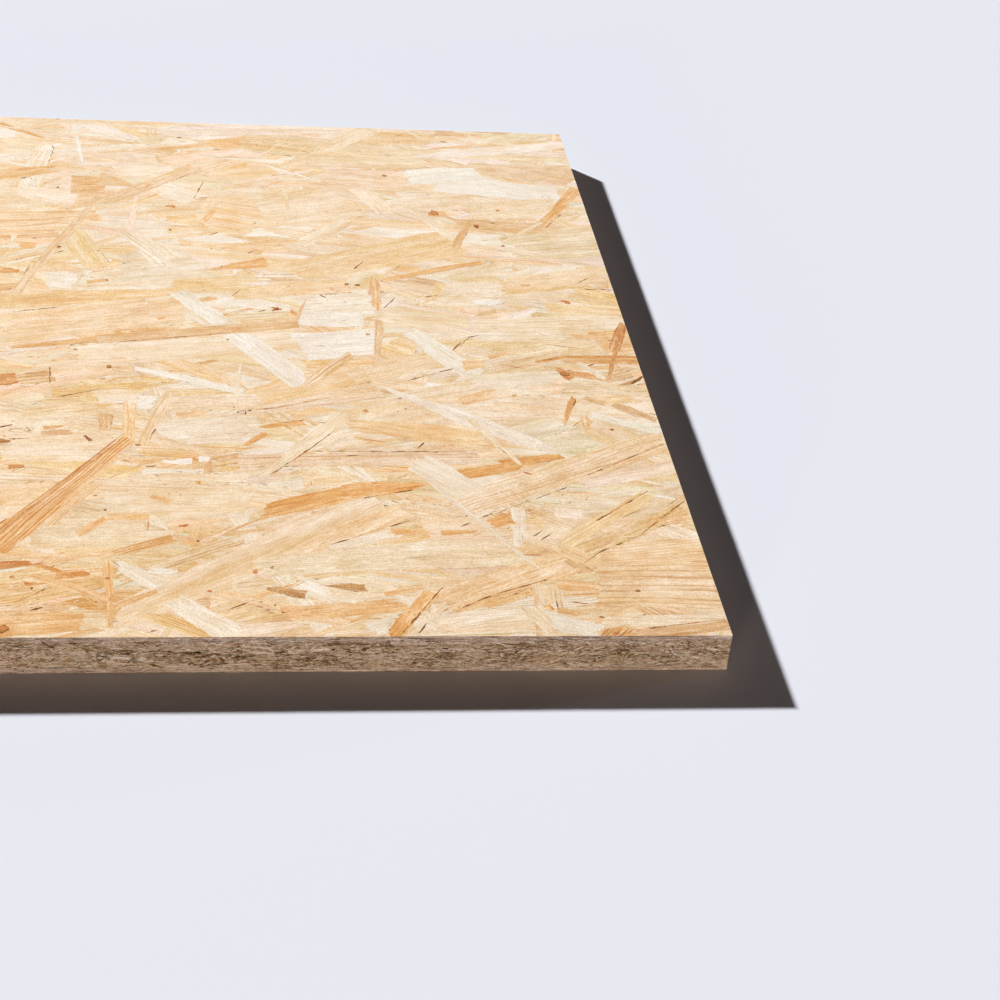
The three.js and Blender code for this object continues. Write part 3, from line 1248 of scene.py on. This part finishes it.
def face_strands(seed, hx, hy, keys, fine):
    rng = np.random.default_rng(seed)
    rows, cols = int(2 * hy / 12.0) + 2, int(2 * hx / 70.0) + 2
    grid = [
        (
            -hx + (i + (j % 2) * 0.5) * 70.0 + rng.uniform(-12, 12),
            -hy + j * 12.0 + rng.uniform(-2, 2),
        )
        for j in range(rows) for i in range(cols)
    ]

    def spots(n):
        return np.stack([rng.uniform(-hx - 20, hx + 20, n), rng.uniform(-hy - 8, hy + 8, n)], 1)

    bed = grow(rng, grid, (90, 120, 145), (18, 26, 36), 0.08, 0.0, LARGE_TONES, fine=fine)
    large = grow(rng, spots(800), (80, 115, 145), (11, 20, 36), 0.24, 0.05, LARGE_TONES, fine=fine)
    mid = grow(rng, spots(1000), (50, 90, 140), (5, 11, 24), 0.34, 0.14, MID_TONES, fine=fine)
    small = grow(rng, spots(1700), (14, 34, 85), (1.0, 2.4, 6.0), 0.42, 0.22, SMALL_TONES, fine=fine)
    rest = large[500:] + mid + small
    rng.shuffle(rest)
    slivers = grow(rng, spots(1500), (5, 11, 26), (0.4, 0.7, 1.3), 0.35, 0.15, SMALL_TONES)
    return bed + large[:500] + rest + slivers + keys


SHADE = np.array([1.36, -1.47]) / math.hypot(1.36, 1.47)  # the way shadows fall on top


def sliver(a, b, w, rng):
    """A thin uneven leaf from a to b, w wide, in the plane of a face."""
    d = b - a
    ln = float(np.linalg.norm(d))
    n = np.array([d[1], -d[0]]) / max(ln, 1e-6)
    m = int(np.clip(ln / 2.0, 2, 8))
    t = np.linspace(0, 1, m + 1)
    line = a + t[:, None] * d + n * (rng.normal(0, 0.12, m + 1) * min(w, 1.0))[:, None]
    half = w * rng.uniform(0.35, 1.0, m + 1) * np.sin(np.pi * np.clip(t, 0.08, 0.92)) ** 0.5
    near = line - n * (half * 0.5)[:, None]
    far = line + n * (half * 0.5)[:, None]
    return np.concatenate([near[::-1], far])


def plain(c, ang, ring, tone, level, rng):
    return Strand(c, ang, ring, 0.5, tone, FLAT, 0.0, (0, 0.4, 0.2), rng.uniform(-400, 400, 3), level)


def shadow_slivers_and_fibres(strands, seed, fibres):
    """Painted shadow: dark slivers beside some strands, mostly along the side away from the light,
    where their shadow falls; and loose fibres over the rims of others."""
    rng = np.random.default_rng(seed)
    out = []
    for st in strands:
        if st.width < 4:
            continue
        ring = st.ring if area_of(st.ring) > 0 else st.ring[::-1]
        n = len(ring)
        grain = np.array([math.cos(st.ang), math.sin(st.ang)])
        if rng.random() < 0.6:  # a broken line of painted shadow
            start, stride = int(rng.integers(n)), max(1, n // 60)
            for k in range(start, start + stride * int(rng.integers(2, 9)), stride):
                a, b = ring[k % n], ring[(k + stride) % n]
                step = b - a
                ln = float(np.linalg.norm(step))
                if ln < 0.5 or rng.random() < 0.35:
                    continue
                away = np.array([step[1], -step[0]]) / ln
                if away @ SHADE < 0.2 or (abs(step @ grain) / ln < 0.8 and rng.random() < 0.6):
                    continue
                tone = jitter(rng.choice(["gap", "umber", "bark", "brown"], p=[0.25, 0.35, 0.25, 0.15]), rng, 0.1)
                shape = sliver(a, b, rng.triangular(0.2, 0.5, 1.3), rng)
                out.append(plain((a + b) / 2, st.ang, shape, tone, st.level + rng.uniform(0.45, 0.7), rng))
        for _ in range(rng.integers(fibres // 3, fibres + 1)):
            k = int(rng.integers(n))
            p = ring[k] + rng.normal(0, 0.45, 2)
            ang = st.ang + rng.normal(0, 0.16)
            half = rng.uniform(0.7, 4.5) * np.array([math.cos(ang), math.sin(ang)])
            roll = rng.random()
            tone = st.tone
            if roll < 0.30:
                tone = jitter(rng.choice(["white", "ivory", "cream"]), rng)
            elif roll < 0.42:
                tone = jitter(rng.choice(["tan", "amber", "brown", "umber"]), rng)
            shape = sliver(p - half, p + half, rng.uniform(0.2, 0.7), rng)
            out.append(plain(p, ang, shape, tone, st.level + rng.uniform(0.45, 0.7), rng))
    return out


def crumbs(spots, seed):
    """Patches of loose splinters and dust; spots: (s, t, reach in s, reach in t, how many)."""
    rng = np.random.default_rng(seed)
    out = []
    names = ["white", "ivory", "pale", "golden", "tan", "amber", "brown", "umber", "gap"]
    odds = [0.14, 0.13, 0.12, 0.12, 0.13, 0.10, 0.09, 0.11, 0.06]
    for s, t, rs, rt, count in spots:
        lean = rng.normal(0, 0.3)
        for _ in range(count):
            c = np.array([s + rng.normal(0, 0.5) * rs, t + rng.normal(0, 0.5) * rt])
            ang = lean + rng.normal(0, 0.35)
            half = rng.triangular(0.3, 0.8, 2.6) * np.array([math.cos(ang), math.sin(ang)])
            name = rng.choice(names, p=odds)
            w = rng.uniform(0.2, 0.6) if name in ("brown", "umber", "gap") else rng.uniform(0.25, 0.8)
            if rng.random() < 0.10:  # a chip of bark or of dark wood
                name, w = rng.choice(["redbrown", "bark", "umber", "orange"]), rng.uniform(0.5, 1.4)
            out.append(plain(c, ang, sliver(c - half, c + half, w, rng), jitter(name, rng, 0.1), None, rng))
    return out


def scattered(count, hx, hy, seed):
    rng = np.random.default_rng(seed)
    out = []
    for _ in range(count):
        reach = rng.uniform(3, 22)
        out.append(
            (
                rng.uniform(-hx + 3, hx - 3), rng.uniform(-hy + 3, hy - 3),
                reach, reach * rng.uniform(0.15, 0.4), int(rng.integers(4, 8 + int(reach))),
            )
        )
    return out


# painted light: the top is made paler towards its back edge and duller towards its right end, for light that falls off
# away from the back left
PAINTED_LIGHT_FALLOFF = np.array([[-0.00024, -0.00019, -0.00011], [0.00018, 0.00032, 0.00056]])


def make_face(label, face, hx, hy, strands, marks, bands, columns, material, relief, fibres, seed, light_falloff_paint):
    """Lays the strands on one pressed face, in bands across its width that each make
    one piece. Painted light: the last argument says how much paler and duller the tone is made over the face, per mm
    of s and of t."""
    strands, bare, shown = lay(strands, hx, hy)
    marks = crumbs(scattered(300, hx, hy, seed + 7), seed + 8) + marks
    perch(marks, shown, hx, hy)
    # painted shadow slivers along strand edges, and loose fibres
    strands = strands + shadow_slivers_and_fibres(strands, seed, fibres) + marks
    top = max(s.level for s in strands) + 1
    print("FACE", label, "strands", len(strands), "levels", top, "bare", round(bare, 5), flush=True)
    rng = np.random.default_rng(seed + 1)
    cuts = np.linspace(-hx, hx, columns + 1)
    groups = {}
    for st in strands:
        e = rng.uniform(0.0, 0.12, 4)
        ring = clip_box(st.ring, (-hx + e[0], hx - e[1], -hy + e[2], hy - e[3]))
        if len(ring) < 3:
            continue
        band = int(np.clip((ring[:, 1].mean() + hy) / (2 * hy) * bands, 0, bands - 1))
        for col in range(columns):
            part = ring
            if ring[:, 0].min() < cuts[col]:
                part = clip_line(part, 0, cuts[col], False)
            if len(part) and part[:, 0].max() > cuts[col + 1]:
                part = clip_line(part, 0, cuts[col + 1], True)
            if len(part) >= 3 and abs(area_of(part)) > 0.05:
                groups.setdefault(band, {}).setdefault(col, []).append((st, part))
    made = []
    for band in sorted(groups):
        fl = Flakes(face)
        items = []
        for col, members in groups[band].items():
            pts = np.concatenate([r for _, r in members])
            low, high = pts.min(0), pts.max(0)
            span = high - low

            def uv(p, low=low, span=span, col=col):
                q = np.clip((p - low) / span * 0.992 + 0.004, 0.001, 0.999)
                return np.stack([q[:, 0], (col + q[:, 1]) / columns], 1)

            items += [(st, part, uv) for st, part in members]
        items.sort(key=lambda it: it[0].level)
        for st, part, uv in items:
            depth = relief * (1 - st.level / top)
            at = part.mean(0)
            # painted light: the tone is made paler towards the back and duller towards the right end
            tone = st.tone * (1 + np.array([max(at[0] - hx + 330, 0), at[1] + 75]) @ light_falloff_paint)
            fl.add(part, st.ang, st.c, depth, tone, st.slope, st.heart, st.traits, st.seed, uv)
        made.append(fl.make(f"osb_{label}_strands_{band + 1}", material))
    return made


HX, HY = (X1 - X0) / 2, (Y1 - Y0) / 2
CX, CY = (X1 + X0) / 2, (Y1 + Y0) / 2

top_pieces = make_face(
    "top",
    ((CX, CY, Z1), (1, 0, 0), (0, 1, 0), (0, 0, 1)),
    HX, HY, face_strands(11, HX, HY, key_strands(), 1.35), key_marks(), 7, 4, wood, 0.08, 8, 211, PAINTED_LIGHT_FALLOFF,
)
under_pieces = make_face(
    "under",
    ((CX, CY, Z0), (1, 0, 0), (0, -1, 0), (0, 0, -1)),
    HX, HY, face_strands(29, HX, HY, [], 4.5), [], 6, 4, wood, 0.08, 2, 223, FLAT,
)

# ------------------------------------------------------------------ sawn edges

EDGE_OUTER = [
    (234, 208, 188), (228, 200, 180), (222, 194, 174), (238, 216, 198), (216, 188, 168),
    (210, 182, 162), (232, 206, 190), (206, 176, 152), (226, 204, 190), (196, 170, 152),
]
EDGE_CORE = [
    (232, 204, 180), (224, 194, 166), (216, 184, 154), (208, 178, 142), (200, 168, 134),
    (238, 216, 196), (190, 156, 124), (220, 190, 164), (206, 174, 144), (178, 144, 112),
    (228, 200, 176), (200, 172, 134),
]


def edge_outline(length, thick, rng):
    """A strand cut by the saw: a thin wavy lens."""
    n = 3 if length > 5 else 2
    u = np.linspace(-0.5, 0.5, n + 2)[1:-1] * length
    u = u + rng.uniform(-0.2, 0.2, n) * length / (n + 1)
    bend = rng.normal(0, 0.5) * thick * (u / (length / 2)) ** 2
    low = bend - thick / 2 * rng.uniform(0.6, 1.2, n)
    high = bend + thick / 2 * rng.uniform(0.6, 1.2, n)
    us = np.concatenate([u, [length / 2], u[::-1], [-length / 2]])
    tips = rng.normal(0, 0.15, 2) * thick
    vs = np.concatenate([low, [tips[0]], high[::-1], [tips[1]]])
    return np.stack([us, vs], 1)


def make_edge(label, face, half_s, along, seed, rows, floor_bounce_paint=0.4, lamp_offset_tint=1.0):
    """along: the face strands run along this edge, so their cuts are long here. The last
    two arguments are painted light: how much paler the edge is made towards its foot, for the light the floor bounces
    up, and a tint that makes the edges the key lamp lights darker and browner and the edge the cool side lamp lights
    warmer."""
    rng = np.random.default_rng(seed)
    z_low, z_high = 0.03, THICK - 0.03
    box = (-half_s, half_s, z_low, z_high)
    items = []
    for t in np.arange(z_low, z_high + 0.5, 1.0):  # a bed with no holes in it
        for s0 in np.arange(-half_s - 10, half_s + 10, 16.0):
            items.append((s0 + rng.uniform(-3, 3), t + rng.uniform(-0.2, 0.2), rng.uniform(22, 32), rng.uniform(1.5, 2.1), rng.normal(0, 0.01), rng.uniform(0, 0.15)))
    for _ in range(int(2 * half_s * THICK * 0.30)):
        t = rng.uniform(z_low, z_high)
        outer = min(t, THICK - t) < 2.6 + rng.normal(0, 0.8)
        if outer == along:
            ln, th, tilt = rng.triangular(3, 6, 26), rng.triangular(0.25, 0.42, 0.8), rng.normal(0, 0.015)
        else:
            ln, th, tilt = rng.triangular(1.0, 2.4, 8), rng.triangular(0.35, 0.7, 1.5), rng.normal(0, 0.26)
        items.append((rng.uniform(-half_s, half_s), t, ln, th, tilt, 0.15 + 0.85 * rng.random()))
    items.sort(key=lambda it: it[5])
    shapes = []
    n = len(items)
    for i, (s, t, ln, th, tilt, _) in enumerate(items):
        ring = rotate(edge_outline(ln, th, rng), tilt) + (s, t)
        ring = clip_box(ring, box)
        if len(ring) < 3 or abs(area_of(ring)) < 0.08:
            continue
        outer = min(t, THICK - t) < 2.6 + rng.normal(0, 0.8)
        pick = EDGE_OUTER if outer else EDGE_CORE
        # painted light: each edge's tint offsets the lamps on it, darker and browner where the key lamp lights it,
        # warmer where the cool side lamp does
        tone = lin(pick[rng.integers(len(pick))]) * math.exp(rng.normal(0, 0.08)) * (0.96, 1.06, 1.18) * lamp_offset_tint
        # painted light: paler towards the foot and darker towards the top, for the light the floor bounces up
        tone = tone * (1 + floor_bounce_paint * (np.array([0.12, 0.20, 0.26]) - np.array([0.26, 0.34, 0.40]) * t / THICK))
        # how thickly the dark specks lie, among them the painted shade of voids
        spots = rng.uniform(0, 0.6) if outer else rng.uniform(0.5, 1.0)
        if rng.random() < (0.02 if outer else 0.05):
            tone = tone * rng.uniform(0.25, 0.6) * ((0.95, 1.0, 1.05) if outer else (1.0, 0.95, 0.75))
        depth = 0.25 * (1 - (i + 1) / n)
        traits = (rng.uniform(0, 0.25), rng.uniform(0.5, 1.4), rng.uniform(0.2, 1.0))
        row = int(np.clip((ring[:, 0].mean() + half_s) / (2 * half_s) * rows, 0, rows - 1))
        shapes.append((ring, tilt, (s, t), depth, np.clip(tone, 0.008, 0.9), spots, traits, rng.uniform(-400, 400, 3), row))
    fl = Flakes(face)
    frames = {}
    for row in range(rows):
        pts = np.concatenate([sh[0] for sh in shapes if sh[8] == row])
        frames[row] = (pts.min(0), pts.max(0) - pts.min(0))
    for ring, tilt, c, depth, tone, spots, traits, seeds, row in shapes:
        low, span = frames[row]

        def uv(p, low=low, span=span, row=row):
            q = np.clip((p - low) / span * 0.992 + 0.004, 0.001, 0.999)
            return np.stack([q[:, 0], (row + q[:, 1]) / rows], 1)

        fl.add(ring, tilt, np.array(c), depth, tone, FLAT, spots, traits, seeds, uv)
    return fl.make(f"osb_{label}_edge", edge_wood)


KEY_LIT_EDGE_DARKENING = np.array([0.76, 0.66, 0.55])  # painted shade: the two edges the key lamp lights are made darker and browner
# painted light: the right edge is made warmer to offset the cool side lamp on it
SIDE_LAMP_EDGE_WARMING = np.array([1.18, 0.97, 0.72])

edge_pieces = [
    make_edge("front", ((CX, Y0, Z0), (1, 0, 0), (0, 0, 1), (0, -1, 0)), HX, True, 41, 8, 1.0),
    make_edge("back", ((CX, Y1, Z0), (-1, 0, 0), (0, 0, 1), (0, 1, 0)), HX, True, 43, 8, 0.4, KEY_LIT_EDGE_DARKENING),
    make_edge("right", ((X1, CY, Z0), (0, 1, 0), (0, 0, 1), (1, 0, 0)), HY, False, 47, 4, 0.4, SIDE_LAMP_EDGE_WARMING),
    make_edge("left", ((X0, CY, Z0), (0, -1, 0), (0, 0, 1), (-1, 0, 0)), HY, False, 53, 4, 0.4, KEY_LIT_EDGE_DARKENING),
]

# ------------------------------------------------------------------ core


def core_material():
    m, nt = nodes_of("core_wood")
    g = Graph(nt)
    where = g.new("ShaderNodeTexCoord")
    n1 = g.noise(where.outputs["Object"], 260.0, 3.0, 0.6)
    mix = g.new("ShaderNodeMix", data_type="RGBA")
    mix.inputs["A"].default_value = (*lin((150, 108, 70)), 1)
    mix.inputs["B"].default_value = (*lin((206, 166, 122)), 1)
    g.link(g.ramp(n1, 0.35, 0.7), mix.inputs["Factor"])
    p = g.new("ShaderNodeBsdfPrincipled")
    g.link(mix.outputs["Result"], p.inputs["Base Color"])
    p.inputs["Roughness"].default_value = 0.85
    b = g.new("ShaderNodeBump")
    b.inputs["Distance"].default_value = 0.0003
    g.link(n1, b.inputs["Height"])
    g.link(b.outputs[0], p.inputs["Normal"])
    out = g.new("ShaderNodeOutputMaterial")
    g.link(p.outputs[0], out.inputs["Surface"])
    return m


def make_core():
    """What lies under the outermost strands: a rough block a little inside all six faces."""
    rng = np.random.default_rng(5)
    inset, skin = 0.55, 0.45
    xs = np.linspace(X0 + inset, X1 - inset, 63)
    ys = np.linspace(Y0 + inset, Y1 - inset, 26)
    zs = np.linspace(Z0 + skin, Z1 - skin, 3)
    index, verts, faces = {}, [], []

    def vert(i, j, k):
        at = (i, j, k)
        if at not in index:
            index[at] = len(verts)
            verts.append((xs[i], ys[j], zs[k]))
        return index[at]

    ni, nj, nk = len(xs) - 1, len(ys) - 1, len(zs) - 1
    for i in range(ni):
        for j in range(nj):
            faces.append((vert(i, j, nk), vert(i + 1, j, nk), vert(i + 1, j + 1, nk), vert(i, j + 1, nk)))
            faces.append((vert(i, j, 0), vert(i, j + 1, 0), vert(i + 1, j + 1, 0), vert(i + 1, j, 0)))
    for i in range(ni):
        for k in range(nk):
            faces.append((vert(i, 0, k), vert(i + 1, 0, k), vert(i + 1, 0, k + 1), vert(i, 0, k + 1)))
            faces.append((vert(i, nj, k), vert(i, nj, k + 1), vert(i + 1, nj, k + 1), vert(i + 1, nj, k)))
    for j in range(nj):
        for k in range(nk):
            faces.append((vert(0, j, k), vert(0, j, k + 1), vert(0, j + 1, k + 1), vert(0, j + 1, k)))
            faces.append((vert(ni, j, k), vert(ni, j + 1, k), vert(ni, j + 1, k + 1), vert(ni, j, k + 1)))
    v = np.array(verts)
    v += rng.normal(0, 1, v.shape) * (0.08, 0.08, 0.05)
    v = np.clip(v, (X0 + 0.4, Y0 + 0.4, Z0 + 0.3), (X1 - 0.4, Y1 - 0.4, Z1 - 0.3))
    me = bpy.data.meshes.new("osb_core")
    me.from_pydata([tuple(p) for p in v * MM], [], faces)
    me.update()
    me.materials.append(core_material())
    ob = bpy.data.objects.new("osb_core", me)
    bpy.context.scene.collection.objects.link(ob)
    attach(ob, "root")
    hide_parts("osb_panel")
    return ob


core = make_core()

# ------------------------------------------------------------------ floor and light


def make_floor():
    size, z = 8.0, (Z0 - 0.02) * MM
    me = bpy.data.meshes.new("floor")
    me.from_pydata(
        [(-size, -size, z), (size, -size, z), (size, size, z), (-size, size, z)],
        [], [(0, 1, 2, 3)],
    )
    m, nt = nodes_of("floor_paint")
    g = Graph(nt)
    p = g.new("ShaderNodeBsdfPrincipled")
    p.inputs["Base Color"].default_value = (*lin((229, 232, 241)), 1)
    p.inputs["Roughness"].default_value = 0.9
    p.inputs["Specular IOR Level"].default_value = 0.15
    out = g.new("ShaderNodeOutputMaterial")
    g.link(p.outputs[0], out.inputs["Surface"])
    me.materials.append(m)
    ob = bpy.data.objects.new("floor", me)
    bpy.context.scene.collection.objects.link(ob)


def sun(name, travel, strength, angle, colour):
    data = bpy.data.lights.new(name, "SUN")
    data.energy, data.angle, data.color = strength, math.radians(angle), colour
    ob = bpy.data.objects.new(name, data)
    bpy.context.scene.collection.objects.link(ob)
    ob.rotation_mode = "QUATERNION"
    ob.rotation_quaternion = Vector(travel).to_track_quat("-Z", "Y")


make_floor()
sun("key", (1.36, -1.47, -1.0), 7.65, 2.6, (1.0, 1.0, 1.0))
sun("front", (0.42, 0.90, -0.045), 1.9, 7.0, (1.0, 0.75, 0.53))  # low, from the front left
sun("side", (-1.0, -0.30, -0.06), 1.06, 3.0, (0.75, 0.86, 1.0))  # low, from the right and behind

world = bpy.data.worlds.new("studio")
bpy.context.scene.world = world
world.use_nodes = True
wt = world.node_tree
wt.nodes.clear()
wg = Graph(wt)
dim = wg.new("ShaderNodeBackground")
dim.inputs["Color"].default_value = (1.0, 0.73, 0.69, 1)
dim.inputs["Strength"].default_value = 0.037
seen = wg.new("ShaderNodeBackground")
seen.inputs["Color"].default_value = (0.80, 0.83, 0.90, 1)
seen.inputs["Strength"].default_value = 1.0
path = wg.new("ShaderNodeLightPath")
mix = wg.new("ShaderNodeMixShader")
wg.link(path.outputs["Is Camera Ray"], mix.inputs[0])
wg.link(dim.outputs[0], mix.inputs[1])
wg.link(seen.outputs[0], mix.inputs[2])
wo = wg.new("ShaderNodeOutputWorld")
wg.link(mix.outputs[0], wo.inputs["Surface"])

scene = bpy.context.scene
scene.view_settings.view_transform = "Standard"
scene.view_settings.look = "None"
scene.view_settings.exposure = 0.0
scene.view_settings.gamma = 1.0
